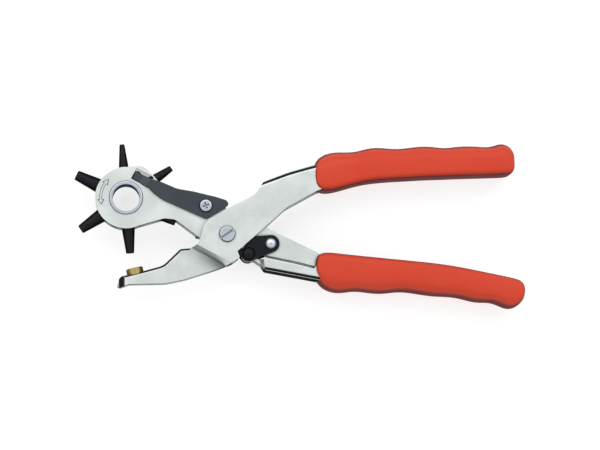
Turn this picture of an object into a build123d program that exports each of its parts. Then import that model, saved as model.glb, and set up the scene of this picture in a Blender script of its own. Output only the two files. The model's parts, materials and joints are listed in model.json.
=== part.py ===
from build123d import *
import os
from math import atan2, cos, radians, sin, tan

# Revolving leather punch, lying on its side with its jaws open.
# X runs from the jaws to the handles, Y across the open jaws, Z through the thickness.
# Everything is modelled about the main pivot at mid-thickness, and laid down at the end.

# ---- driving dimensions (mm, degrees) ----
SHEET = 1.7                      # folded side plates of both handles
JAW_SHEET = 1.6                  # upper jaw plates
LEVER_SHEET = 1.5                # drive levers and lock lever
FIT = 0.05                       # radial running clearance
GAP = 0.1                        # clearance between sliding layers

JAW_HALF = 5.1                   # lower jaw, half width outside
INNER_Z = 4.6                    # inner face of the upper jaw plates
MID_Z = INNER_Z + JAW_SHEET      # outer face of the upper jaw plates
LEVER_Z = MID_Z + GAP            # inner face of the levers
LEVER_TOP = LEVER_Z + LEVER_SHEET
OUTER_Z = LEVER_TOP + GAP        # inner face of the outer side plates
SIDE_Z = OUTER_Z + SHEET         # outer face of the outer side plates
GRIP_Z = 11.9                    # half thickness of the grips
GRIP_ROUND = 2.6
FOLD_R = 2.3                     # outside radius of the handles' folds
JAW_FOLD_R = 1.5

PIVOT = (0.0, 0.0)               # main pivot
PIVOT_EYE_R = 9.5                # upper jaw round the main pivot
BOLT_R = 3.0
BOLT_HEAD_R = 4.0
BUSH_R = 4.0
WASHER_R = 4.6

TURRET = (-50.75, 18.31)         # turret axis
HEAD_R = 15.5                    # round head of the upper jaw
EYELET_BORE_R = 6.75
EYELET_TUBE_R = 7.75
EYELET_FLANGE_R = 8.5
EYELET_FLANGE = 0.75
WHEEL_FLAT = 13.2                # turret axis to a flat of the hexagonal wheel
WHEEL_ROUND = 14.9               # its rounded corners
WHEEL_HALF = 3.75
CAM_FLAT = 9.75                  # hexagonal locking cam on the wheel's front face
CAM_TOP = INNER_Z - GAP
NOSE_W = 2.2                     # locking nose of the lock lever
NOSE_REACH = 9.9                 # turret axis to the nose
NOSE_LOW = 4.0

PUNCH_FIRST = 34.65              # direction of the first punch
PUNCH_SIZES = (2.5, 2.0, 4.5, 4.0, 3.5, 3.0)   # counter-clockwise from the first
WORKING = 4                      # the punch that meets the anvil
PUNCH_REACH = 27.6               # turret axis to punch tip
SHANK_R = 3.0
COLLAR_R = 3.7
PUNCH_BASE = 2.5                 # cone radius beside the collar, for a 2 mm punch
COLLAR_END = 14.6                # turret axis to the end of the collar
EDGE = 0.2                       # wall of a punch at its cutting edge

LOCK_PIVOT = (-10.76, 14.34)
LOCK_SCREW_R = 1.8
TAB_FACING = 62.0                # direction of the lock tab from the turret axis
PILLAR = (-19.9, 16.3)           # spacer between the upper jaw plates
LUG = (-15.6, 12.7)              # lug of the lock lever that its spring bears on

HANDLE_PIVOT = (21.98, -4.53)    # lower handle on the upper jaw's tail
PIN_R = 2.4
DRIVE_RIVET = (10.81, -9.71)     # drive levers on the lower handle
RIVET_R = 1.9
STUD = (6.79, -5.28)             # studs of the lower jaw that the drive levers work on
STUD_R = 1.8
FORK = 0.12                      # play of a stud in its fork

JAW_CLOSE = 8.9                  # swing of the upper jaw from open to shut
TIP_GAP = 0.1                    # punch tip to anvil with the jaws shut
ANVIL_R = 4.3
ANVIL_T = 3.6
ANVIL_STEM_R = 2.2
HANDLE_END = 128.0               # end of the metal inside the grips

# ---- outlines: x, y and corner radius ----
FRAME_OUTLINE = [
    (-52.6, -21.0, 0.9), (-42.4, -18.5, 30), (-32.0, -15.6, 8), (-23.4, -7.2, 0.8),
    (-17.8, -6.7, 1.5), (-15.1, -5.2, 1.5), (-13.3, -1.5, 3), (-12.2, 3.4, 4), (-9.9, 7.0, 3),
    (1.5, 13.6, 20), (13.8, 19.9, 5), (18.3, 26.7, 1.2), (30.6, 31.5, 60), (45.6, 35.8, 60),
    (70.0, 39.4, 120), (HANDLE_END, 41.6, 0.5), (HANDLE_END, 33.8, 0.5), (80.0, 30.6, 150),
    (58.0, 27.3, 40), (45.3, 22.2, 30), (29.6, 13.4, 5), (24.5, 8.7, 10), (14.6, -0.25, 30),
    (5.1, -8.6, 0.8), (6.3, -11.6, 0.8), (3.9, -13.4, 1), (1.0, -15.1, 1), (-5.5, -17.6, 20),
    (-20.9, -22.6, 30), (-30.5, -24.7, 20), (-42.3, -25.0, 20), (-49.0, -25.1, 4),
    (-53.6, -27.0, 0.6), (-54.9, -26.4, 0.5), (-54.2, -22.6, 1.5),
]
# the folded backs, run on straight past both ends and trimmed in by 0.05
HANDLE_BACK = [(-100, -19.45, 0), (30.6, 31.45, 60), (45.6, 35.75, 60), (70.0, 39.35, 120), (140, 42.01, 0)]
JAW_BACK = [(-70, -25.35, 0), (-42.4, -18.55, 30), (-32.0, -15.65, 8), (-23.4, -7.25, 1.6), (-10, -6.05, 0)]
FRAME_STEP = ((-15.1, -5.3), (0.7, -13.6))      # the side plates step in to the jaw here

JAW_OUTLINE = [
    (-50.75, 18.31, 0), (-49.5, 2.9, 3), (-43.0, 4.6, 12), (-31.5, 8.0, 5), (-26.0, 7.4, 5),
    (-13.6, -1.8, 1.2), (-9.6, -3.9, 1), (0.0, -6.0, 0), (7.0, -6.4, 1), (11.0, -5.4, 3),
    (17.0, -6.4, 2), (19.6, -10.4, 2), (36.2, -13.8, 30), (46.5, -16.4, 0.8), (46.5, -9.3, 0.8),
    (20.1, 3.5, 3), (7.0, 9.0, 6), (3.0, 10.8, 2), (-2.0, 14.2, 2), (-6.0, 17.3, 3),
    (-17.6, 20.2, 20), (-25.2, 21.2, 15), (-33.5, 25.2, 4), (-37.2, 29.7, 2.5), (-41.2, 33.6, 3),
    (-45.0, 34.6, 2.5), (-50.75, 33.7, 0),
]

CHANNEL_OUTLINE = [
    (10.8, -7.6, 0.5), (15.6, -12.4, 1), (21.1, -12.7, 10), (43.5, -17.3, 1.5), (47.5, -12.2, 1.5),
    (90.0, -15.6, 60), (HANDLE_END, -21.5, 0.5),
    (HANDLE_END, -29.8, 0.5), (92.0, -25.9, 60), (60.0, -25.4, 40), (46.3, -23.1, 20),
    (19.3, -18.2, 0.8), (17.2, -15.4, 1.5), (13.6, -13.0, 1), (9.5, -12.6, 1),
]
CHANNEL_BACK = [(-60, -3.75, 0), (46.3, -23.05, 20), (60.0, -25.35, 40), (92.0, -25.85, 60), (140, -31.05, 0)]
CHANNEL_STEP = ((16.4, -8.0), (17.6, -16.0))    # and in to the drive levers here
CHANNEL_EAR_R = 3.3

LOCK_OUTLINE = [
    (-47.5, 27.8, 0.4), (-45.9, 31.7, 0.4), (-38.0, 27.6, 10), (-32.7, 26.0, 15),
    (-25.2, 22.8, 15), (-17.6, 21.6, 15), (-6.0, 18.9, 15), (-0.5, 17.2, 1.4), (1.0, 15.2, 1.4),
    (-0.6, 13.7, 1.0), (-10.6, 7.7, 2.2), (-14.3, 9.4, 4), (-32.7, 17.5, 12), (-37.2, 20.9, 4),
    (-39.3, 23.3, 4), (-43.5, 25.5, 4),
]

UPPER_GRIP_OUTLINE = [
    (47.6, 20.8, 3.5), (44.0, 29.5, 6), (47.0, 38.6, 6), (54.0, 41.7, 12), (64.0, 41.7, 14),
    (73.0, 43.9, 16), (84.0, 43.4, 25), (102.0, 44.7, 60), (111.0, 44.2, 40), (119.4, 45.2, 40),
    (133.5, 44.8, 12), (138.9, 46.4, 3.5), (144.4, 43.0, 3.5), (145.0, 36.5, 10), (143.6, 30.2, 3.2),
    (128.6, 29.6, 60), (105.5, 28.6, 100), (82.4, 27.3, 100), (67.0, 25.4, 80),
]
LOWER_GRIP_OUTLINE = [
    (48.2, -8.6, 3.5), (44.2, -14.5, 8), (45.6, -21.5, 10), (49.0, -27.9, 6), (56.5, -28.9, 12),
    (63.5, -28.0, 14), (78.0, -29.2, 25), (85.5, -28.5, 30), (95.0, -29.0, 40), (105.0, -30.4, 40),
    (113.0, -30.7, 30), (126.0, -33.6, 18), (133.0, -33.3, 16), (142.8, -37.0, 3.5),
    (148.0, -34.6, 3.5), (149.6, -28.0, 10), (149.0, -22.2, 3.2), (120.9, -16.4, 100),
    (107.0, -14.2, 100),
]


# ---- helpers ----
def face_of(outline):
    points = [(x, y) for x, y, r in outline]
    return make_face(FilletPolyline(*points, radius=[r for x, y, r in outline], close=True))


def box_face(x_low, y_low, x_high, y_high):
    return Pos((x_low + x_high) / 2, (y_low + y_high) / 2) * Rectangle(x_high - x_low, y_high - y_low)


def disc(centre, radius):
    return Pos(*centre) * Circle(radius)


def slab(face, low, high):
    return Pos(0, 0, low) * extrude(face, amount=high - low)


def post(centre, radius, low, high):
    return Pos(centre[0], centre[1], (low + high) / 2) * Cylinder(radius, high - low)


def dome(centre, radius, low, height):
    """Domed rivet head with a small flat crown."""
    crown = 0.4
    sphere_r = (radius**2 + height**2) / (2 * height)
    side = RadiusArc((radius, 0), (crown, height), -sphere_r)
    section = make_face([side, *Polyline((crown, height), (0, height), (0, 0), (radius, 0)).edges()])
    return Pos(centre[0], centre[1], low) * revolve(Plane.XZ * section, Axis.Z)


def polar(centre, radius, angle):
    a = radians(angle)
    return (centre[0] + radius * cos(a), centre[1] + radius * sin(a))


def turned(point, angle):
    """Point turned about the main pivot."""
    a = radians(angle)
    return (point[0] * cos(a) - point[1] * sin(a), point[0] * sin(a) + point[1] * cos(a))


def at_both_sides(solid):
    return solid + mirror(solid, about=Plane.XY)


def stepped_sheet(line, s_low, s_high, z_low, z_high, thickness):
    """Sheet with a step along a line: low on the line's right hand, high on its left."""
    start, end = line
    along = Vector(end[0] - start[0], end[1] - start[1]).normalized()
    across = Vector(-along.Y, along.X)
    back = thickness * tan(atan2(z_high - z_low, s_high - s_low) / 2)
    far = 250
    profile = Polyline(
        (-far, z_low), (s_low, z_low), (s_high, z_high), (far, z_high),
        (far, z_high + thickness), (s_high - back, z_high + thickness),
        (s_low - back, z_low + thickness), (-far, z_low + thickness), close=True,
    )
    origin = Vector(start[0], start[1]) - along * far
    return extrude(Plane(origin=origin, x_dir=across, z_dir=along) * make_face(profile), amount=2 * far)


def fold(outline, zone, shift, half):
    """Web of a folded channel: the strip of an outline that a shift uncovers."""
    return slab((outline & zone) - Pos(*shift) * outline, -half, half)


def rounded_back(line, side, half, radius):
    """All that lies below (side 1) or above (side -1) a back line, with its two long edges rounded."""
    far = side * 300
    first, last = line[0], line[-1]
    body = slab(face_of([(first[0], first[1] - far, 0), *line, (last[0], last[1] - far, 0)]), -half, half)
    backs = [e for e in body.edges() if abs(abs(e.center().Z) - half) < 0.01 and abs(e.center().Y) < 100]
    return fillet(backs, radius)


def coil(centre, radius, wire, turns, low, start, first_leg=0, last_leg=0):
    """Round wire wound counter-clockwise up from a starting direction, with straight legs along its ends."""
    pitch = wire * 1.12
    helix = Helix(pitch, pitch * turns, radius)
    path = [helix.edge()]
    if first_leg:
        path.insert(0, Line(helix @ 0 - (helix % 0) * first_leg, helix @ 0))
        path.append(Line(helix @ 1, helix @ 1 + (helix % 1) * last_leg))
    path = Wire(path)
    ring = Plane(origin=path @ 0, z_dir=path % 0) * Circle(wire / 2)
    return Pos(centre[0], centre[1], low) * Rot(0, 0, start) * sweep(ring, path=path, is_frenet=not first_leg)


# ---- lower jaw and upper handle ----
def anvil_seat():
    """Middle of the anvil's face and the direction of the working punch, with the jaws shut."""
    aim = PUNCH_FIRST + 60 * WORKING
    return turned(polar(TURRET, PUNCH_REACH + TIP_GAP, aim), JAW_CLOSE), aim + JAW_CLOSE


def anvil_frame():
    centre, aim = anvil_seat()
    down = Vector(cos(radians(aim)), sin(radians(aim)), 0)
    return Plane(origin=(centre[0], centre[1], 0), x_dir=(0, 0, 1), z_dir=down)


def anvil():
    """Brass disc on a stem that passes through the jaw's top."""
    seat = anvil_frame()
    puck = extrude(seat * Circle(ANVIL_R), amount=ANVIL_T)
    rim = [e for e in puck.edges() if e.geom_type == GeomType.CIRCLE]
    puck = fillet(min(rim, key=lambda e: (e.arc_center - seat.origin).length), 0.5)
    stem = extrude(seat.offset(ANVIL_T) * Circle(ANVIL_STEM_R), amount=3.2)
    return puck + stem


def lower_jaw_frame():
    """One folded stamping: side plates, a jaw closed at its top and nose, a handle closed at its back."""
    outline = face_of(FRAME_OUTLINE)
    sheet = stepped_sheet(FRAME_STEP, -1.5, 1.0, JAW_HALF - SHEET, OUTER_Z, SHEET)
    solid = at_both_sides(slab(outline, 0.5, SIDE_Z + 1) & sheet)
    solid += fold(outline, box_face(-60, -40, -18.6, 0), (0.9, -1.9), JAW_HALF)
    solid += fold(outline, box_face(19.5, 20, 130, 60), (0.45, -1.75), SIDE_Z)
    solid = solid & rounded_back(HANDLE_BACK, 1, SIDE_Z, FOLD_R)
    jaw_zone = slab(box_face(-70, -60, -18.6, 0), -30, 30)
    solid = solid - (jaw_zone - rounded_back(JAW_BACK, 1, JAW_HALF, JAW_FOLD_R))

    nose_r = JAW_HALF
    nose = Plane.XZ * (
        Pos(-54.9 + nose_r, 0) * Circle(nose_r)
        + Pos((-54.9 + nose_r + 140) / 2, 0) * Rectangle(140 + 54.9 - nose_r, 2 * SIDE_Z + 2)
    )
    solid = solid & extrude(nose, amount=60, both=True)

    solid = solid - post(PIVOT, BOLT_R + FIT, -20, 20)
    solid = solid - at_both_sides(post(STUD, STUD_R, OUTER_Z - 1, OUTER_Z + 1.0))
    seat = anvil_frame()
    solid = solid - extrude(seat.offset(ANVIL_T) * Circle(ANVIL_STEM_R), amount=6)
    solid = solid - extrude(seat.offset(-3) * Circle(ANVIL_R + 1), amount=3 + ANVIL_T)
    return solid


def grip_body(outline):
    body = slab(face_of(outline), -GRIP_Z, GRIP_Z)
    rims = body.edges().group_by(Axis.Z)
    return fillet(rims[0] + rims[-1], GRIP_ROUND)


def upper_grip():
    return grip_body(UPPER_GRIP_OUTLINE) - slab(face_of(FRAME_OUTLINE), -SIDE_Z, SIDE_Z)


def pivot_bolt():
    head = fillet(post(PIVOT, BOLT_HEAD_R, SIDE_Z, SIDE_Z + 1.6).edges().group_by(Axis.Z)[-1], 0.7)
    slot = Pos(0, 0, SIDE_Z + 1.6) * Rot(0, 0, 35) * Box(12, 1.1, 1.8)
    return head - slot + post(PIVOT, BOLT_R, -GRIP_Z, SIDE_Z)


def pivot_nut():
    nut = slab(RegularPolygon(5.0, 6, major_radius=False), -GRIP_Z, -SIDE_Z)
    return chamfer(nut.edges().group_by(Axis.Z)[0], 0.5) - post(PIVOT, BOLT_R, -20, 20)


def pivot_bush():
    return post(PIVOT, BUSH_R, -MID_Z - FIT, MID_Z + FIT) - post(PIVOT, BOLT_R + FIT, -20, 20)


def thrust_washers():
    ring = post(PIVOT, WASHER_R, MID_Z + FIT, OUTER_Z) - post(PIVOT, BOLT_R + FIT, -20, 20)
    return at_both_sides(ring)


def transmission_studs():
    return at_both_sides(post(STUD, STUD_R, LEVER_Z + 0.1, OUTER_Z + 1.0))


# ---- upper jaw ----
def tab_frame():
    """X along the lock lever from its tip, Y away from the turret axis."""
    t = radians(TAB_FACING - 90)
    return Plane(origin=(*TURRET, 0), x_dir=(cos(t), sin(t), 0), z_dir=(0, 0, 1))


def upper_jaw_plate(front):
    face = face_of(JAW_OUTLINE) + disc(TURRET, HEAD_R) + disc(PIVOT, PIVOT_EYE_R)
    face = face - disc(TURRET, EYELET_TUBE_R) - disc(PIVOT, BUSH_R + FIT) - disc(HANDLE_PIVOT, PIN_R)
    face = face - disc(PILLAR, 1.5)
    if front:
        slot = tab_frame() * Pos(2.5, 12.6) * RectangleRounded(9.8, 6.0, 0.5)
        lug_hole = disc(LUG, 1.45)
        return slab(face - slot - lug_hole - disc(LOCK_PIVOT, LOCK_SCREW_R), INNER_Z, MID_Z)
    return slab(face - disc(LOCK_PIVOT, 1.5), -MID_Z, -INNER_Z)


def turret_eyelet():
    """Tubular axle with rolled flanges, and a window for slugs behind the working punch."""
    top = MID_Z + EYELET_FLANGE
    rim = post(TURRET, EYELET_FLANGE_R, MID_Z, top)
    rim = fillet(rim.edges().group_by(Axis.Z)[-1], 0.6)
    tube = at_both_sides(rim) + post(TURRET, EYELET_TUBE_R, -MID_Z, MID_Z)
    tube = tube - post(TURRET, EYELET_BORE_R, -top - 1, top + 1)
    aim = radians(PUNCH_FIRST + 60 * WORKING)
    ray = Plane(origin=(*TURRET, 0), z_dir=(cos(aim), sin(aim), 0))
    return tube - extrude(ray * Circle(2.6), amount=12)


def jaw_spacers():
    """Shouldered pillars between the plates: under the lock screw, and one riveted at each end."""
    under_screw = post(LOCK_PIVOT, 2.6, -INNER_Z, INNER_Z) + post(LOCK_PIVOT, 1.5, -MID_Z, -INNER_Z)
    under_screw = under_screw - post(LOCK_PIVOT, LOCK_SCREW_R - 0.3, -1, 20)
    pillar = post(PILLAR, 2.6, -INNER_Z, INNER_Z) + post(PILLAR, 1.5, -MID_Z, MID_Z)
    return [under_screw, pillar]


def tail_spacer():
    return post(HANDLE_PIVOT, 4.0, -INNER_Z, INNER_Z) - post(HANDLE_PIVOT, PIN_R, -20, 20)


def handle_pivot_pin():
    """Rivet that the lower handle swings on, with a domed head each side."""
    head = dome(HANDLE_PIVOT, 3.2, LEVER_TOP + FIT, 1.5)
    return at_both_sides(head) + post(HANDLE_PIVOT, PIN_R, -LEVER_TOP - 0.3, LEVER_TOP + 0.3)


def opening_spring():
    """Torsion spring on the pivot bush: one leg bears on the pillar, the other reaches into the lower jaw."""
    return coil(PIVOT, BUSH_R + 1.2, 1.2, 2.69, -1.8, 226.5, first_leg=26, last_leg=15)


def lock_screw():
    """Cross-recessed screw that the lock lever turns on."""
    head = fillet(post(LOCK_PIVOT, 3.2, LEVER_TOP + FIT, LEVER_TOP + 1.5).edges().group_by(Axis.Z)[-1], 0.8)
    recess = Pos(*LOCK_PIVOT, LEVER_TOP + 1.5) * Rot(0, 0, 20) * (Box(3.4, 0.8, 1.8) + Box(0.8, 3.4, 1.8))
    neck = post(LOCK_PIVOT, LOCK_SCREW_R, INNER_Z, LEVER_TOP + FIT)
    return head - recess + neck + post(LOCK_PIVOT, LOCK_SCREW_R - 0.3, -1, INNER_Z)


def lock_spring():
    """Torsion spring round the screw's pillar."""
    return coil(LOCK_PIVOT, 3.1, 0.7, 3.1, 1.6, 180)


# ---- lower handle ----
def lower_handle_channel():
    """Folded channel, closed along its back, with two ears stepped in under the drive levers."""
    outline = face_of(CHANNEL_OUTLINE) + disc(DRIVE_RIVET, CHANNEL_EAR_R)
    sheet = stepped_sheet(CHANNEL_STEP, 0.2, 2.2, MID_Z - SHEET, OUTER_Z, SHEET)
    solid = at_both_sides(slab(outline, 0.5, SIDE_Z + 1) & sheet)
    solid += fold(outline, box_face(19.6, -40, 130, -16.5), (-0.2, 1.75), SIDE_Z)
    solid = solid & rounded_back(CHANNEL_BACK, -1, SIDE_Z, FOLD_R)
    return solid - at_both_sides(post(DRIVE_RIVET, RIVET_R, 2, 8))


def lower_grip():
    tail_pocket = slab(box_face(40, -20, 50, 0), -MID_Z - 0.5, MID_Z + 0.5)
    channel = slab(face_of(CHANNEL_OUTLINE), -SIDE_Z, SIDE_Z)
    return grip_body(LOWER_GRIP_OUTLINE) - channel - tail_pocket


def drive_lever():
    """Three-lobed plate: swings on the jaw's tail, riveted to the handle, forked round the stud."""
    rim = [*disc(HANDLE_PIVOT, 4.3).edges(), *disc(DRIVE_RIVET, 3.8).edges(), *disc(STUD, 3.7).edges()]
    face = make_hull(rim)
    run = Vector(STUD[0] - HANDLE_PIVOT[0], STUD[1] - HANDLE_PIVOT[1])
    angle = run.get_angle(Vector(1, 0)) * (1 if run.Y >= 0 else -1)
    fork = Pos(*STUD) * Rot(0, 0, angle) * Pos(4, 0) * RectangleRounded(12, 2 * (STUD_R + FORK), STUD_R)
    fork_slot = fork - Pos(*STUD) * Rot(0, 0, angle) * Pos(-10, 0) * Rectangle(15.4, 12)
    face = face - fork_slot - disc(STUD, STUD_R + FORK) - disc(HANDLE_PIVOT, PIN_R + FIT)
    return slab(face - disc(DRIVE_RIVET, RIVET_R), LEVER_Z, LEVER_TOP)


def drive_rivets():
    outer = dome(DRIVE_RIVET, 3.3, LEVER_TOP, 1.4)
    inner = post(DRIVE_RIVET, 2.6, MID_Z - SHEET - 0.7, MID_Z - SHEET)
    return at_both_sides(outer + inner + post(DRIVE_RIVET, RIVET_R, MID_Z - SHEET, LEVER_TOP))


# ---- turret ----
def turret_wheel():
    """Hexagonal wheel with six sockets, and on its front face the notched cam that the lock drops into."""
    twist = Pos(*TURRET) * Rot(0, 0, PUNCH_FIRST - 30)
    wheel = slab(twist * RegularPolygon(WHEEL_FLAT, 6, major_radius=False), -WHEEL_HALF, WHEEL_HALF)
    wheel = wheel & post(TURRET, WHEEL_ROUND, -WHEEL_HALF, WHEEL_HALF)
    cam = slab(twist * RegularPolygon(CAM_FLAT, 6, major_radius=False), WHEEL_HALF, CAM_TOP)
    for k in range(6):
        notch = Box(4, NOSE_W + 0.3, 4)
        corner = PUNCH_FIRST + 30 + 60 * k
        cam = cam - Pos(*TURRET) * Rot(0, 0, corner) * Pos(NOSE_REACH - 0.15 + 2, 0, WHEEL_HALF) * notch
    wheel = wheel + cam + post(TURRET, 10.5, -CAM_TOP, -WHEEL_HALF)
    wheel = wheel - post(TURRET, EYELET_TUBE_R + FIT, -20, 20)
    for k in range(6):
        ray = punch_frame(k)
        wheel = wheel - extrude(ray * Circle(SHANK_R), amount=WHEEL_FLAT + 3)
    return wheel


def punch_frame(k):
    aim = radians(PUNCH_FIRST + 60 * k)
    return Plane(origin=(*TURRET, 0), x_dir=(0, 0, 1), z_dir=(cos(aim), sin(aim), 0))


def punch(k):
    """Tapered tube with a collar and a plain shank."""
    bore = PUNCH_SIZES[k] / 2
    base = min(PUNCH_BASE + bore - 1, COLLAR_R - 0.15)
    half_section = Polyline(
        (bore, 8.3), (SHANK_R, 8.3), (SHANK_R, WHEEL_FLAT), (COLLAR_R, WHEEL_FLAT),
        (COLLAR_R, COLLAR_END - 0.4), (base + 0.1, COLLAR_END), (bore + EDGE + 0.15, PUNCH_REACH - 0.8),
        (bore + EDGE, PUNCH_REACH), (bore, PUNCH_REACH), close=True,
    )
    body = revolve(Plane.XZ * make_face(half_section), Axis.Z)
    return punch_frame(k).location * body


# ---- lock lever ----
def lock_lever():
    """Flat lever whose tip dips through the jaw plate, with a nose that enters the cam's notches."""
    tab = tab_frame()
    t = radians(TAB_FACING)
    line = ((TURRET[0] + 4.6 * sin(t) - 50 * cos(t), TURRET[1] - 4.6 * cos(t) - 50 * sin(t)),
            (TURRET[0] + 4.6 * sin(t) + 50 * cos(t), TURRET[1] - 4.6 * cos(t) + 50 * sin(t)))
    sheet = stepped_sheet((line[1], line[0]), -2.0, 2.0, INNER_Z, LEVER_Z, LEVER_SHEET)
    lever = slab(face_of(LOCK_OUTLINE), 3, 12) & sheet
    corner = PUNCH_FIRST + 30
    nose = Pos(*TURRET) * Rot(0, 0, corner) * Pos(NOSE_REACH + 1.5, 0, (NOSE_LOW + INNER_Z + 0.3) / 2)
    lever = lever + nose * Box(3.0, NOSE_W, INNER_Z + 0.3 - NOSE_LOW)
    lever = lever + post(LUG, 1.0, 2.6, LEVER_Z + 0.5)
    return lever - post(LOCK_PIVOT, LOCK_SCREW_R + FIT, -20, 20)


# ---- all pieces ----
def build_pieces():
    pieces = {
        "lower_jaw_frame": lower_jaw_frame(),
        "anvil": anvil(),
        "upper_grip": upper_grip(),
        "pivot_bolt": pivot_bolt(),
        "pivot_nut": pivot_nut(),
        "pivot_bush": pivot_bush(),
        "thrust_washers": thrust_washers(),
        "transmission_studs": transmission_studs(),
        "upper_jaw_plate_front": upper_jaw_plate(True),
        "upper_jaw_plate_rear": upper_jaw_plate(False),
        "turret_eyelet": turret_eyelet(),
        "jaw_spacers": jaw_spacers(),
        "tail_spacer": tail_spacer(),
        "handle_pivot_pin": handle_pivot_pin(),
        "opening_spring": opening_spring(),
        "lock_screw": lock_screw(),
        "lock_spring": lock_spring(),
        "lower_handle_channel": lower_handle_channel(),
        "lower_grip": lower_grip(),
        "drive_lever_front": drive_lever(),
        "drive_lever_rear": mirror(drive_lever(), about=Plane.XY),
        "drive_rivets": drive_rivets(),
        "turret_wheel": turret_wheel(),
        "lock_lever": lock_lever(),
    }
    for k, size in enumerate(PUNCH_SIZES):
        pieces[f"punch_{size:.1f}mm".replace(".", "_")] = punch(k)
    return pieces


def solids_of(piece):
    parts = piece if isinstance(piece, list) else [piece]
    return [solid for part in parts for solid in part.solids()]


def main():
    os.makedirs("parts", exist_ok=True)
    pieces = {name: Compound(children=solids_of(piece)) for name, piece in build_pieces().items()}
    boxes = [piece.bounding_box() for piece in pieces.values()]
    low_x, high_x = min(box.min.X for box in boxes), max(box.max.X for box in boxes)
    low_y, high_y = min(box.min.Y for box in boxes), max(box.max.Y for box in boxes)
    pivot = (-(low_x + high_x) / 2, -(low_y + high_y) / 2, -min(box.min.Z for box in boxes))
    print("main pivot at", *pivot, "overall", high_x - low_x, high_y - low_y)
    lay_down = Pos(*pivot)
    for name, piece in pieces.items():
        export_step(lay_down * piece, f"parts/{name}.step")


main()
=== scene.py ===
import json
from math import copysign, cos, degrees, radians, sin

import bmesh
import bpy
from mathutils import Matrix, Vector


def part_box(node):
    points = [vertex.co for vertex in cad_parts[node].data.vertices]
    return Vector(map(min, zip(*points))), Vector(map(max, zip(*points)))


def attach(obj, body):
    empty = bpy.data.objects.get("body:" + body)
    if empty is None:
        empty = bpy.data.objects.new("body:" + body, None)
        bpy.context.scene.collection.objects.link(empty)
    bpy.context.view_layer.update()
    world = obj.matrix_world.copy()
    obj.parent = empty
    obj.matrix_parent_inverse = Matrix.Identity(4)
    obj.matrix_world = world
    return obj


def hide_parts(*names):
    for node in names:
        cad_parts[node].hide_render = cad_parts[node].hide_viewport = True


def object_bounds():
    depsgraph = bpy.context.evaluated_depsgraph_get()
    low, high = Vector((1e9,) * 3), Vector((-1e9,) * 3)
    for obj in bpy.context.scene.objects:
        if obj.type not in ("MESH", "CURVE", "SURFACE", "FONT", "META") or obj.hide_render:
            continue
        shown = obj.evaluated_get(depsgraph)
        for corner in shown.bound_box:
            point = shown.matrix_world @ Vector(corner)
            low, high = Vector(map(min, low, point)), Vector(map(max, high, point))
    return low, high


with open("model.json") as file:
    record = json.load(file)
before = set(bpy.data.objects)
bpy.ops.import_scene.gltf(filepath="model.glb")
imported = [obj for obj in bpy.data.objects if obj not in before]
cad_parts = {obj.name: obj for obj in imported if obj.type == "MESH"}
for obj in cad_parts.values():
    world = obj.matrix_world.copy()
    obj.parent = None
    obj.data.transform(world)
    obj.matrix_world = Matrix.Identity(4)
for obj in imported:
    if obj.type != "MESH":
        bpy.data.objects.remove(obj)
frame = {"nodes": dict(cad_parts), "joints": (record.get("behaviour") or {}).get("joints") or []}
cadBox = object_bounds()
mm = 0.001
joints = {joint["name"]: Vector(joint["pos_m"]) for joint in frame["joints"]}
mainPivot = joints["jaw_hinge"]
turretAxis = joints["turret_spin"]
midHeight = (cadBox[0].z + cadBox[1].z) / 2
print("frame loaded:", len(frame["nodes"]), "pieces")


def addNode(tree, kind, **settings):
    node = tree.nodes.new("ShaderNode" + kind)
    for key, value in settings.items():
        setattr(node, key, value)
    return node


def mathNode(tree, operation, first, second=0.0, clamp=False):
    node = addNode(tree, "Math", operation=operation, use_clamp=clamp)
    for index, value in enumerate((first, second)):
        if isinstance(value, (int, float)):
            node.inputs[index].default_value = value
        else:
            tree.links.new(value, node.inputs[index])
    return node.outputs[0]


def vectorNode(tree, operation, first, second):
    node = addNode(tree, "VectorMath", operation=operation)
    tree.links.new(first, node.inputs[0])
    if isinstance(second, tuple):
        node.inputs[1].default_value = second
    else:
        tree.links.new(second, node.inputs[1])
    return node.outputs["Value" if operation == "DOT_PRODUCT" else "Vector"]


def rangeNode(tree, value, fromLow, fromHigh, toLow, toHigh):
    node = addNode(tree, "MapRange", interpolation_type="SMOOTHSTEP")
    tree.links.new(value, node.inputs["Value"])
    limits = {"From Min": fromLow, "From Max": fromHigh, "To Min": toLow, "To Max": toHigh}
    for socket, number in limits.items():
        node.inputs[socket].default_value = number
    return node.outputs["Result"]


def mixColours(tree, factor, first, second):
    node = addNode(tree, "Mix", data_type="RGBA")
    factorIn, firstIn, secondIn = node.inputs[0], node.inputs[6], node.inputs[7]  # the colour sockets
    tree.links.new(factor, factorIn)
    for socket, value in ((firstIn, first), (secondIn, second)):
        if isinstance(value, tuple):
            socket.default_value = (*value, 1.0)
        else:
            tree.links.new(value, socket)
    return node.outputs[2]


def noiseNode(tree, scale, detail=3.0, roughness=0.5, stretch=(1, 1, 1), turn=0.0):
    place = addNode(tree, "TexCoord")
    mapping = addNode(tree, "Mapping")
    mapping.inputs["Scale"].default_value = stretch
    mapping.inputs["Rotation"].default_value = (0, 0, radians(turn))
    noise = addNode(tree, "TexNoise")
    noise.inputs["Detail"].default_value = detail
    noise.inputs["Roughness"].default_value = roughness
    tree.links.new(place.outputs["Object"], mapping.inputs["Vector"])
    tree.links.new(mapping.outputs["Vector"], noise.inputs["Vector"])
    if isinstance(scale, (int, float)):
        noise.inputs["Scale"].default_value = scale
    else:
        tree.links.new(scale, noise.inputs["Scale"])
    return noise.outputs["Fac"]


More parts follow.
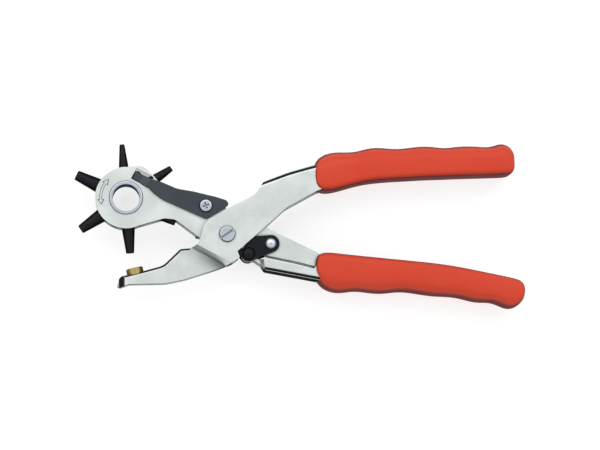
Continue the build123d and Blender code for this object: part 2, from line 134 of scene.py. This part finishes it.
def newGroup(name, inputs, outputs):
    tree = bpy.data.node_groups.new(name, "ShaderNodeTree")
    for label, value in inputs.items():
        socket = tree.interface.new_socket(label, in_out="INPUT", socket_type="NodeSocketFloat")
        socket.default_value = value
    for label, kind in outputs.items():
        tree.interface.new_socket(label, in_out="OUTPUT", socket_type="NodeSocket" + kind)
    return tree, tree.nodes.new("NodeGroupInput").outputs, tree.nodes.new("NodeGroupOutput").inputs


def placeGroup(tree, group, **values):
    node = tree.nodes.new("ShaderNodeGroup")
    node.node_tree = group
    for label, value in values.items():
        node.inputs[label].default_value = value
    return node.outputs


# Shared effects. Scales are noise cells per metre, and a pair of numbers is where a mask starts and ends.
edgeLook = dict(bend=(0.01, 0.16), patchScale=700.0, patch=(0.38, 0.62), leastWear=0.25)


def makeEdgeWear():
    # a rounded normal at sharp edges, and a patchy mask of where the finish has rubbed thin
    tree, given, result = newGroup(
        "edgeWear", {"Radius": 0.0004, "Amount": 1.0}, {"Edge": "Float", "Normal": "Vector"}
    )
    bevel = addNode(tree, "Bevel", samples=6)
    tree.links.new(given["Radius"], bevel.inputs["Radius"])
    surface = addNode(tree, "NewGeometry")
    alike = vectorNode(tree, "DOT_PRODUCT", bevel.outputs["Normal"], surface.outputs["Normal"])
    bend = rangeNode(tree, mathNode(tree, "SUBTRACT", 1.0, alike), *edgeLook["bend"], 0.0, 1.0)
    speckle = noiseNode(tree, edgeLook["patchScale"], 4.0, 0.6)
    patches = rangeNode(tree, speckle, *edgeLook["patch"], edgeLook["leastWear"], 1.0)
    worn = mathNode(tree, "MULTIPLY", mathNode(tree, "MULTIPLY", bend, patches), given["Amount"], True)
    tree.links.new(worn, result["Edge"])
    tree.links.new(bevel.outputs["Normal"], result["Normal"])
    return tree


grainLook = dict(brushStretch=(0.06, 1.0, 1.0), brushTurn=12)


def makeGrain():
    # fine tooling grain, once along the sheet and once even in all directions
    tree, given, result = newGroup("fineGrain", {"Scale": 2200.0}, {"Brushed": "Float", "Pitted": "Float"})
    brushed = noiseNode(tree, given["Scale"], 2.0, 0.55, grainLook["brushStretch"], grainLook["brushTurn"])
    tree.links.new(brushed, result["Brushed"])
    tree.links.new(noiseNode(tree, given["Scale"], 3.0, 0.6), result["Pitted"])
    return tree


handlingLook = dict(
    smudge=(0.42, 0.68), scratchScale=1500.0, scratchStretch=(0.012, 1.0, 0.3), scratchTurns=(24, -37),
    scratch=(0.70, 0.74), gapScale=130.0, gap=(0.52, 0.6),
)


def makeHandling():
    # smudges from hands, and a few hairline scratches that cross each other
    tree, given, result = newGroup("handling", {"Spread": 60.0}, {"Smudge": "Float", "Scratch": "Float"})
    look = handlingLook
    smudge = rangeNode(tree, noiseNode(tree, given["Spread"], 4.0, 0.62), *look["smudge"], 0.0, 1.0)
    tree.links.new(smudge, result["Smudge"])
    lines = []
    for turn in look["scratchTurns"]:
        streak = noiseNode(tree, look["scratchScale"], 1.0, 0.4, look["scratchStretch"], turn)
        lines.append(rangeNode(tree, streak, *look["scratch"], 0.0, 1.0))
    gaps = rangeNode(tree, noiseNode(tree, look["gapScale"], 2.0), *look["gap"], 0.0, 1.0)
    tree.links.new(mathNode(tree, "MULTIPLY", mathNode(tree, "ADD", *lines), gaps, True), result["Scratch"])
    return tree


slopeLook = dict(near=0.03, clear=0.09, least=0.12)


def makePaintedSideShade():
    # painted shade by how far a face turns away from the flat sides of the tool: 0 on the sheet's faces, 1 on
    # its edges, except that a slope at the given angle stays bright, as a painted highlight
    tree, given, result = newGroup(
        "sideTone", {"Start": 0.85, "Full": 0.7, "Bright": -1.0}, {"Side": "Float"}
    )
    surface = addNode(tree, "NewGeometry")
    parts = addNode(tree, "SeparateXYZ")
    tree.links.new(surface.outputs["Normal"], parts.inputs[0])
    flat = mathNode(tree, "ABSOLUTE", parts.outputs["Z"])
    side = addNode(tree, "MapRange", interpolation_type="SMOOTHSTEP")
    tree.links.new(flat, side.inputs["Value"])
    tree.links.new(given["Start"], side.inputs["From Min"])
    tree.links.new(given["Full"], side.inputs["From Max"])
    # the painted highlight: faces near the given slope are kept out of the painted shade
    offSlope = mathNode(tree, "ABSOLUTE", mathNode(tree, "SUBTRACT", flat, given["Bright"]))
    slope = rangeNode(tree, offSlope, slopeLook["near"], slopeLook["clear"], slopeLook["least"], 1.0)
    tree.links.new(mathNode(tree, "MULTIPLY", side.outputs["Result"], slope), result["Side"])
    return tree


creviceLook = dict(closed=0.30, open=0.85)


def makeCrevice():
    # dark oil and dirt, together with painted shade, where pieces meet closely, from an ambient occlusion
    # mask
    tree, given, result = newGroup("crevice", {"Reach": 0.002, "Amount": 1.0}, {"DirtAndShade": "Float"})
    nearby = addNode(tree, "AmbientOcclusion", samples=6)
    tree.links.new(given["Reach"], nearby.inputs["Distance"])
    dirtAndShade = rangeNode(tree, nearby.outputs["AO"], creviceLook["closed"], creviceLook["open"], 1.0, 0.0)
    tree.links.new(mathNode(tree, "MULTIPLY", dirtAndShade, given["Amount"], True), result["DirtAndShade"])
    return tree


edgeWear, fineGrain, handling = makeEdgeWear(), makeGrain(), makeHandling()
sideTone, crevice = makePaintedSideShade(), makeCrevice()
print("shared effects built")


def newMaterial(name, metallic, roughness, **sockets):
    material = bpy.data.materials.new(name)
    material.use_nodes = True
    tree = material.node_tree
    shader = tree.nodes["Principled BSDF"]
    shader.inputs["Metallic"].default_value = metallic
    shader.inputs["Roughness"].default_value = roughness
    for label, value in sockets.items():
        shader.inputs[label.replace("_", " ")].default_value = value
    return material, tree, shader


def onTool(x, y):
    # a point given in mm from the main pivot, at mid thickness
    return Vector((mainPivot.x + x * mm, mainPivot.y + y * mm, midHeight))


# Colours are linear: the flat faces, rubbed edges, painted shade on the edges and side walls,
# dirt and painted shade in gaps, and grazing reflections.
# depth and radius are the grain's depth and the edges' rounding in mm, scale the grain's noise scale.
# fold is how level a face is where the painted edge shade starts and is full;
# slope is an angle that stays bright, a painted highlight.
metalFinishes = {
    "platedSteel": dict(
        colour=(0.75, 0.80, 0.785), worn=(0.84, 0.87, 0.86), side=(0.022, 0.024, 0.024),
        rough=0.30, depth=0.004, wear=0.35, grain="Pitted", scale=1500.0, radius=0.3, fold=(0.998, 0.93),
        grazing=(0.06, 0.065, 0.065), slope=0.49, dirtAndShade=(0.03, 0.032, 0.032),
    ),
    "brightSteel": dict(
        colour=(0.60, 0.66, 0.74), worn=(0.88, 0.90, 0.93), side=(0.05, 0.055, 0.065),
        rough=0.22, depth=0.006, wear=0.5, grain="Brushed", scale=2600.0, radius=0.2, fold=(0.96, 0.7),
        grazing=(0.25, 0.26, 0.28), dirtAndShade=(0.03, 0.03, 0.035),
    ),
    "leverSteel": dict(
        colour=(0.068, 0.078, 0.092), worn=(0.20, 0.22, 0.25), side=(0.016, 0.017, 0.020),
        rough=0.36, depth=0.008, wear=0.4, grain="Pitted", scale=1800.0, radius=0.3, fold=(0.97, 0.75),
        grazing=(0.25, 0.26, 0.28), dirtAndShade=(0.008, 0.008, 0.010),
    ),
    "blackSteel": dict(
        colour=(0.020, 0.021, 0.025), worn=(0.11, 0.11, 0.12), side=(0.014, 0.014, 0.016),
        rough=0.40, depth=0.008, wear=0.35, grain="Brushed", scale=2200.0, radius=0.3, fold=(0.9, 0.6),
        grazing=(0.4, 0.4, 0.4), dirtAndShade=(0.008, 0.008, 0.008),
    ),
    "anvilBrass": dict(
        colour=(0.46, 0.36, 0.13), worn=(0.75, 0.63, 0.33), side=(0.20, 0.15, 0.05),
        rough=0.30, depth=0.008, wear=0.6, grain="Pitted", scale=2400.0, radius=0.3, fold=(0.9, 0.6),
        grazing=(0.5, 0.4, 0.2), dirtAndShade=(0.05, 0.035, 0.015),
    ),
    "springSteel": dict(
        colour=(0.28, 0.29, 0.31), worn=(0.5, 0.5, 0.52), side=(0.2, 0.2, 0.22),
        rough=0.34, depth=0.004, wear=0.2, grain="Brushed", scale=3000.0, radius=0.1, fold=(0.9, 0.6),
        grazing=(0.4, 0.4, 0.4), dirtAndShade=(0.03, 0.03, 0.03),
    ),
}


metalFinishes["jawSteel"] = dict(
    metalFinishes["platedSteel"],
    # the fold's two ends, and how far beyond it the shade starts and fades out, in mm from the main pivot
    shade=dict(start=(-15.1, -5.3), end=(0.7, -13.6), near=2.6, far=13.0, blend=0.5, falloff=2.2),
    shadeAlong=dict(low=-2.0, high=16.0, least=0.30, most=0.95), shadeTone=(0.13, 0.15, 0.15),
)


def foldShade(tree, shade, spread):
    # painted shade beyond the fold, standing for the dark reflection of the bent sheet, fading toward the
    # nose of the jaw
    first, last = onTool(*shade["start"]), onTool(*shade["end"])
    along = (last - first).normalized()
    across = Vector((along.y, -along.x, 0.0))
    place = addNode(tree, "TexCoord").outputs["Object"]
    offset = vectorNode(tree, "SUBTRACT", place, tuple(first))
    beyond = vectorNode(tree, "DOT_PRODUCT", offset, tuple(across))
    near, far = shade["near"] * mm, shade["far"] * mm
    fading = mathNode(tree, "POWER", rangeNode(tree, beyond, near, far, 1.0, 0.0), shade["falloff"])
    begun = rangeNode(tree, beyond, near - shade["blend"] * mm, near, 0.0, 1.0)
    sideways = vectorNode(tree, "DOT_PRODUCT", offset, tuple(along))
    lower = rangeNode(
        tree, sideways, spread["low"] * mm, spread["high"] * mm, spread["least"], spread["most"]
    )
    return mathNode(tree, "MULTIPLY", mathNode(tree, "MULTIPLY", fading, begun), lower, True)


# How the shared effects act on every metal.
metalLook = dict(
    smudgeSpread=55.0, gapReach=0.0022, gapDirtAndShade=0.8, cloudScale=70.0, clouds=(0.93, 1.04), scratched=0.12,
    grainRough=(-0.05, 0.08), smudgeRough=0.10, sideRough=0.18, bump=0.35,
)


def metalMaterial(name, finish):
    material, tree, shader = newMaterial(name, 1.0, finish["rough"], Specular_Tint=(*finish["grazing"], 1.0))
    edge = placeGroup(tree, edgeWear, Radius=finish["radius"] * mm, Amount=finish["wear"])
    grain = placeGroup(tree, fineGrain, Scale=finish["scale"])
    marks = placeGroup(tree, handling, Spread=metalLook["smudgeSpread"])
    start, full = finish["fold"]
    side = placeGroup(tree, sideTone, Start=start, Full=full, Bright=finish.get("slope", -1.0))
    gaps = placeGroup(tree, crevice, Reach=metalLook["gapReach"], Amount=metalLook["gapDirtAndShade"])
    drift = noiseNode(tree, metalLook["cloudScale"], 5.0, 0.55)
    clouds = rangeNode(tree, drift, 0.3, 0.7, *metalLook["clouds"])
    toned = addNode(tree, "HueSaturation")
    toned.inputs["Color"].default_value = (*finish["colour"], 1.0)
    tree.links.new(clouds, toned.inputs["Value"])
    # painted shade on the edges and side walls, as the normal turns away from the sheet's faces
    colour = mixColours(tree, side["Side"], toned.outputs["Color"], finish["side"])
    colour = mixColours(tree, edge["Edge"], colour, finish["worn"])
    scratches = mathNode(tree, "MULTIPLY", marks["Scratch"], metalLook["scratched"])
    colour = mixColours(tree, scratches, colour, finish["worn"])
    # painted shade beyond the jaw's fold
    if "shade" in finish:
        shade = foldShade(tree, finish["shade"], finish["shadeAlong"])
        colour = mixColours(tree, shade, colour, finish["shadeTone"])
    # dirt and painted shade in close gaps
    colour = mixColours(tree, gaps["DirtAndShade"], colour, finish["dirtAndShade"])
    tree.links.new(colour, shader.inputs["Base Color"])
    uneven = rangeNode(tree, grain["Pitted"], 0.2, 0.8, *metalLook["grainRough"])
    rough = mathNode(tree, "ADD", uneven, finish["rough"])
    smudged = mathNode(tree, "MULTIPLY", marks["Smudge"], metalLook["smudgeRough"])
    rough = mathNode(tree, "ADD", rough, smudged)
    sideRough = mathNode(tree, "MULTIPLY", side["Side"], metalLook["sideRough"])
    rough = mathNode(tree, "ADD", rough, sideRough, True)
    tree.links.new(rough, shader.inputs["Roughness"])
    bump = addNode(tree, "Bump")
    bump.inputs["Strength"].default_value = metalLook["bump"]
    bump.inputs["Distance"].default_value = finish["depth"] * mm
    tree.links.new(grain[finish["grain"]], bump.inputs["Height"])
    tree.links.new(edge["Normal"], bump.inputs["Normal"])
    tree.links.new(bump.outputs["Normal"], shader.inputs["Normal"])
    return material


# The grips' second colour is painted shade, laid on their side walls.
gripFinish = dict(
    colour=(0.64, 0.052, 0.020), sideShadeTone=(0.10, 0.005, 0.006), rubbed=(0.69, 0.080, 0.038),
    rough=0.44, skinScale=1400.0, skinDepth=0.05, specular=0.24, bump=0.25,
    smudgeSpread=38.0, cloudScale=45.0, cloudMost=0.22, sideStart=0.70, sideFull=0.22, sideDeep=0.94,
    scratched=0.25, grainRough=(-0.04, 0.06), smudgeShine=0.09, sideRough=0.35,
)


def gripMaterial():
    look = gripFinish
    material, tree, shader = newMaterial(
        "mouldedPlastic", 0.0, look["rough"], Specular_IOR_Level=look["specular"]
    )
    grain = placeGroup(tree, fineGrain, Scale=look["skinScale"])
    marks = placeGroup(tree, handling, Spread=look["smudgeSpread"])
    side = placeGroup(tree, sideTone, Start=look["sideStart"], Full=look["sideFull"])
    clouds = rangeNode(tree, noiseNode(tree, look["cloudScale"], 4.0, 0.55), 0.3, 0.7, 0.0, look["cloudMost"])
    colour = mixColours(tree, clouds, look["colour"], look["rubbed"])
    # painted shade on the grip's side walls
    sideShadeTone = mathNode(tree, "MULTIPLY", side["Side"], look["sideDeep"])
    colour = mixColours(tree, sideShadeTone, colour, look["sideShadeTone"])
    scratches = mathNode(tree, "MULTIPLY", marks["Scratch"], look["scratched"])
    colour = mixColours(tree, scratches, colour, look["rubbed"])
    tree.links.new(colour, shader.inputs["Base Color"])
    uneven = rangeNode(tree, grain["Pitted"], 0.3, 0.7, *look["grainRough"])
    rough = mathNode(tree, "ADD", uneven, look["rough"])
    shine = mathNode(tree, "MULTIPLY", marks["Smudge"], look["smudgeShine"])
    rough = mathNode(tree, "SUBTRACT", rough, shine)
    sideRough = mathNode(tree, "MULTIPLY", side["Side"], look["sideRough"])
    rough = mathNode(tree, "ADD", rough, sideRough, True)
    tree.links.new(rough, shader.inputs["Roughness"])
    bump = addNode(tree, "Bump")
    bump.inputs["Strength"].default_value = look["bump"]
    bump.inputs["Distance"].default_value = look["skinDepth"] * mm
    tree.links.new(grain["Pitted"], bump.inputs["Height"])
    tree.links.new(bump.outputs["Normal"], shader.inputs["Normal"])
    return material


materials = {name: metalMaterial(name, finish) for name, finish in metalFinishes.items()}
materials["mouldedPlastic"] = gripMaterial()
print("materials made:", len(materials))


def paint(piece, materialName):
    piece.data.materials.clear()
    piece.data.materials.append(materials[materialName])


nodeFinishes = {
    "jawSteel": ["lower_jaw_frame"],
    "platedSteel": ["upper_jaw_plate_front", "upper_jaw_plate_rear", "lower_handle_channel"],
    "brightSteel": [
        "turret_eyelet", "pivot_bolt", "pivot_nut", "pivot_bush", "thrust_washers", "transmission_studs",
        "handle_pivot_pin", "lock_screw", "jaw_spacers", "tail_spacer",
    ],
    "leverSteel": ["lock_lever"],
    "blackSteel": ["drive_lever_front", "drive_lever_rear", "drive_rivets", "turret_wheel"],
    "anvilBrass": ["anvil"],
    "springSteel": ["opening_spring", "lock_spring"],
}
nodeFinishes["blackSteel"] += [name for name in frame["nodes"] if name.startswith("punch_")]
for materialName, names in nodeFinishes.items():
    for name in names:
        paint(frame["nodes"][name], materialName)
print("metal finishes set on", sum(len(names) for names in nodeFinishes.values()), "pieces")


def finishPiece(name, mesh, materialName, body):
    bmesh.ops.recalc_face_normals(mesh, faces=mesh.faces)
    data = bpy.data.meshes.new(name)
    mesh.to_mesh(data)
    mesh.free()
    data.polygons.foreach_set("use_smooth", [True] * len(data.polygons))
    piece = bpy.data.objects.new(name, data)
    bpy.context.scene.collection.objects.link(piece)
    paint(piece, materialName)
    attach(piece, body)
    return piece


# Grips: rings of a rounded section from the open end to the bulb.
# Each ring has the outer and inner edge of the grip in mm from the main pivot, then half its thickness,
# which is slim where a ring doesn't give it.
gripShape = dict(sides=32, outerRound=0.80, innerRound=0.36, smoothing=2, slim=11.35)
gripRings = {
    "upperGripCover": [
        (43.9, 32.8, 44.1, 28.4, 8.8), (44.2, 36.2, 44.9, 24.6, 10.9), (45.8, 39.1, 46.7, 22.3, 11.7),
        (49.2, 41.4, 51.2, 21.8, 11.9), (54.0, 42.6, 56.8, 23.2, 11.8), (59.0, 42.5, 61.8, 24.7, 11.55),
        (64.0, 42.6, 66.5, 26.0), (68.5, 43.8, 71.0, 26.9), (73.0, 45.0, 75.5, 27.5),
        (78.5, 45.0, 80.5, 28.0), (84.0, 44.3, 86.0, 28.4), (90.0, 44.7, 91.5, 28.7),
        (96.0, 45.7, 97.0, 29.1), (102.0, 45.9, 103.0, 29.4), (107.0, 45.3, 108.0, 29.6),
        (111.0, 45.0, 112.0, 29.8), (115.5, 45.7, 116.5, 30.0), (120.5, 46.2, 121.5, 30.2),
        (127.0, 46.0, 127.5, 30.4), (131.6, 45.6, 132.4, 30.6, 11.3), (135.2, 46.2, 136.6, 30.8, 11.6),
        (138.4, 47.6, 140.2, 30.9, 11.9), (142.2, 47.0, 143.6, 31.3, 11.9), (144.6, 44.4, 145.1, 32.8, 11.4),
        (145.5, 41.6, 145.6, 35.2, 9.0),
    ],
    "lowerGripCover": [
        (44.3, -17.4, 44.6, -13.0, 8.8), (44.5, -20.6, 45.3, -10.8, 10.9), (45.7, -23.8, 47.4, -8.9, 11.7),
        (48.2, -26.6, 51.4, -8.7, 11.9), (52.4, -28.6, 55.4, -9.1, 11.9), (57.0, -29.1, 59.4, -9.5, 11.7),
        (61.5, -28.3, 63.6, -9.9, 11.5), (66.0, -28.0, 68.2, -10.4), (71.5, -28.8, 73.0, -10.8),
        (76.5, -29.3, 78.0, -11.3), (81.5, -28.9, 83.0, -11.8), (86.5, -28.2, 88.0, -12.2),
        (92.0, -28.5, 93.5, -12.8), (98.5, -29.6, 100.5, -13.4), (105.0, -30.5, 107.5, -14.2),
        (111.5, -30.5, 114.5, -15.2), (118.0, -31.3, 121.0, -16.4), (124.5, -33.3, 127.8, -17.7),
        (129.5, -33.5, 133.0, -18.8), (134.0, -33.4, 138.0, -19.8, 11.4), (138.4, -35.3, 142.8, -20.8, 11.7),
        (142.2, -36.9, 147.0, -21.8, 11.9), (146.0, -36.1, 149.4, -23.2, 11.8),
        (148.8, -33.6, 150.2, -25.8, 11.3), (150.0, -31.2, 150.4, -28.2, 9.0),
    ],
}


def ringMatrix(ring):
    outer, inner = onTool(ring[0], ring[1]), onTool(ring[2], ring[3])
    across = (outer - inner) / 2
    half = (ring[4] if len(ring) > 4 else gripShape["slim"]) * mm
    along = Vector((0, 0, 1)).cross(across.normalized())
    columns = (across, Vector((0, 0, half)), along * mm, (outer + inner) / 2)
    return Matrix([[column[row] for column in columns] for row in range(3)] + [[0, 0, 0, 1]])


def gripCover(name, node, body):
    mesh = bmesh.new()
    verts = bmesh.ops.create_circle(mesh, cap_ends=True, segments=gripShape["sides"], radius=1.0)["verts"]
    for vert in verts:  # the outer edge is rounded more than the inner one
        power = gripShape["outerRound" if vert.co.x > 0 else "innerRound"]
        vert.co.x, vert.co.y = (copysign(abs(part) ** power, part) for part in vert.co[:2])
    rings = gripRings[name]
    bmesh.ops.transform(mesh, matrix=ringMatrix(rings[0]), verts=verts)
    edges = list(mesh.edges)
    for before, after in zip(rings, rings[1:]):
        grown = bmesh.ops.extrude_edge_only(mesh, edges=edges)["geom"]
        verts = [item for item in grown if isinstance(item, bmesh.types.BMVert)]
        edges = [item for item in grown if isinstance(item, bmesh.types.BMEdge)]
        bmesh.ops.transform(mesh, matrix=ringMatrix(after) @ ringMatrix(before).inverted(), verts=verts)
    bmesh.ops.edgeloop_fill(mesh, edges=edges)
    cover = finishPiece(name, mesh, "mouldedPlastic", body)
    smoothing = cover.modifiers.new("smoothing", "SUBSURF")
    smoothing.levels = smoothing.render_levels = gripShape["smoothing"]
    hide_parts(node)


gripCover("upperGripCover", "upper_grip", "lower_jaw")
gripCover("lowerGripCover", "lower_grip", "lower_handle")
print("grip covers made")

# Etched double arrow on the head: which way the turret turns. Lengths in mm, angles round the turret.
arrowMark = dict(
    radius=12.7, shaft=0.65, head=1.75, start=133.0, end=197.0, headTurn=13.0, line=0.24, proud=0.03,
    steps=14, headInset=2.2, tipInset=2.4,
)


def arrowLoop(mesh, inset, height):
    look = arrowMark
    turn = degrees(inset / look["radius"])
    radius, shaft = look["radius"], look["shaft"] - inset
    head = look["head"] - look["headInset"] * inset
    low, high = look["start"] + look["tipInset"] * turn, look["end"] - look["tipInset"] * turn
    neckLow = look["start"] + look["headTurn"] - turn
    neckHigh = look["end"] - look["headTurn"] + turn
    bends = [neckLow + (neckHigh - neckLow) * k / look["steps"] for k in range(look["steps"] + 1)]
    places = [(radius, low), (radius + head, neckLow)] + [(radius + shaft, bend) for bend in bends]
    places += [(radius + head, neckHigh), (radius, high), (radius - head, neckHigh)]
    places += [(radius - shaft, bend) for bend in reversed(bends)] + [(radius - head, neckLow)]
    verts = []
    for reach, angle in places:
        x = turretAxis.x + reach * mm * cos(radians(angle))
        y = turretAxis.y + reach * mm * sin(radians(angle))
        verts.append(mesh.verts.new((x, y, height)))
    return [mesh.edges.new(pair) for pair in zip(verts, verts[1:] + verts[:1])]


def turnArrow():
    mesh = bmesh.new()
    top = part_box("upper_jaw_plate_front")[1].z
    edges = arrowLoop(mesh, 0.0, top) + arrowLoop(mesh, arrowMark["line"], top)
    bmesh.ops.bridge_loops(mesh, edges=edges)
    grown = bmesh.ops.extrude_face_region(mesh, geom=list(mesh.faces))["geom"]
    raised = [item for item in grown if isinstance(item, bmesh.types.BMVert)]
    bmesh.ops.translate(mesh, verts=raised, vec=(0, 0, arrowMark["proud"] * mm))
    mark = finishPiece("turnArrowMark", mesh, "leverSteel", "upper_jaw")
    mark.data.polygons.foreach_set("use_smooth", [False] * len(mark.data.polygons))


turnArrow()
print("arrow mark made")

# Floor, light and camera. Panel powers are in watts, by direction in degrees round the tool.
studio = dict(
    floorSize=4.0, floorColour=(0.45, 0.453, 0.45), floorGlow=0.68, floorRough=0.7, floorShine=0.1,
    zenith=0.75, horizon=0.03, skyRise=(0.05, 0.75),
    panelSize=1.2, panelDistance=1.25, panelElevation=42.0,
    panelPowers={125: 5.2, 55: 4.0, -20: 1.4, -160: 1.4, -90: 0.8},
)
view = dict(distance=1.3, elevation=84.6, aside=-3.7, lens=155.4, aim=(0.0001, 0.0, 0.0215))


def makeFloor():
    mesh = bmesh.new()
    bmesh.ops.create_grid(mesh, x_segments=4, y_segments=4, size=studio["floorSize"] / 2)
    data = bpy.data.meshes.new("floor")
    mesh.to_mesh(data)
    mesh.free()
    floor = bpy.data.objects.new("floor", data)
    bpy.context.scene.collection.objects.link(floor)
    material, tree, shader = newMaterial(
        "paleFloor", 0.0, studio["floorRough"], Specular_IOR_Level=studio["floorShine"],
        Emission_Color=(1, 1, 1, 1), Emission_Strength=studio["floorGlow"],
    )
    tone = rangeNode(tree, noiseNode(tree, 3.0, 2.0), 0.3, 0.7, 0.985, 1.0)
    colour = addNode(tree, "HueSaturation")
    colour.inputs["Color"].default_value = (*studio["floorColour"], 1.0)
    tree.links.new(tone, colour.inputs["Value"])
    tree.links.new(colour.outputs["Color"], shader.inputs["Base Color"])
    data.materials.append(material)


def makeWorld():
    world = bpy.data.worlds.new("softBox")
    world.use_nodes = True
    tree = world.node_tree
    place = addNode(tree, "TexCoord")
    parts = addNode(tree, "SeparateXYZ")
    tree.links.new(place.outputs["Generated"], parts.inputs[0])
    strength = rangeNode(tree, parts.outputs["Z"], *studio["skyRise"], studio["horizon"], studio["zenith"])
    tree.links.new(strength, tree.nodes["Background"].inputs["Strength"])
    tree.nodes["Background"].inputs["Color"].default_value = (1, 1, 1, 1)
    bpy.context.scene.world = world


def sidePanel(azimuth, power):
    light = bpy.data.lights.new(f"sidePanel{azimuth}", "AREA")
    light.energy, light.size = power, studio["panelSize"]
    lamp = bpy.data.objects.new(light.name, light)
    turn, lift = radians(azimuth), radians(studio["panelElevation"])
    toPanel = Vector((cos(turn) * cos(lift), sin(turn) * cos(lift), sin(lift)))
    lamp.location = toPanel * studio["panelDistance"]
    lamp.rotation_euler = (-toPanel).to_track_quat("-Z", "Y").to_euler()
    bpy.context.scene.collection.objects.link(lamp)


def makeCamera():
    camera = bpy.data.objects.new("camera", bpy.data.cameras.new("camera"))
    tilt, aside = radians(view["elevation"]), radians(view["aside"])
    back = Vector((sin(aside), -cos(tilt), sin(tilt))).normalized()
    right = Vector((0, 1, 0)).cross(back).normalized()
    upward = back.cross(right)
    camera.location = Vector(view["aim"]) + back * view["distance"]
    camera.rotation_euler = Matrix((right, upward, back)).transposed().to_euler()
    camera.data.lens = view["lens"]
    camera.data.clip_start = 0.01
    bpy.context.scene.collection.objects.link(camera)
    bpy.context.scene.camera = camera


makeFloor()
makeWorld()
for azimuth, power in studio["panelPowers"].items():
    sidePanel(azimuth, power)
makeCamera()
bpy.context.scene.view_settings.view_transform = "Standard"
print("studio set")
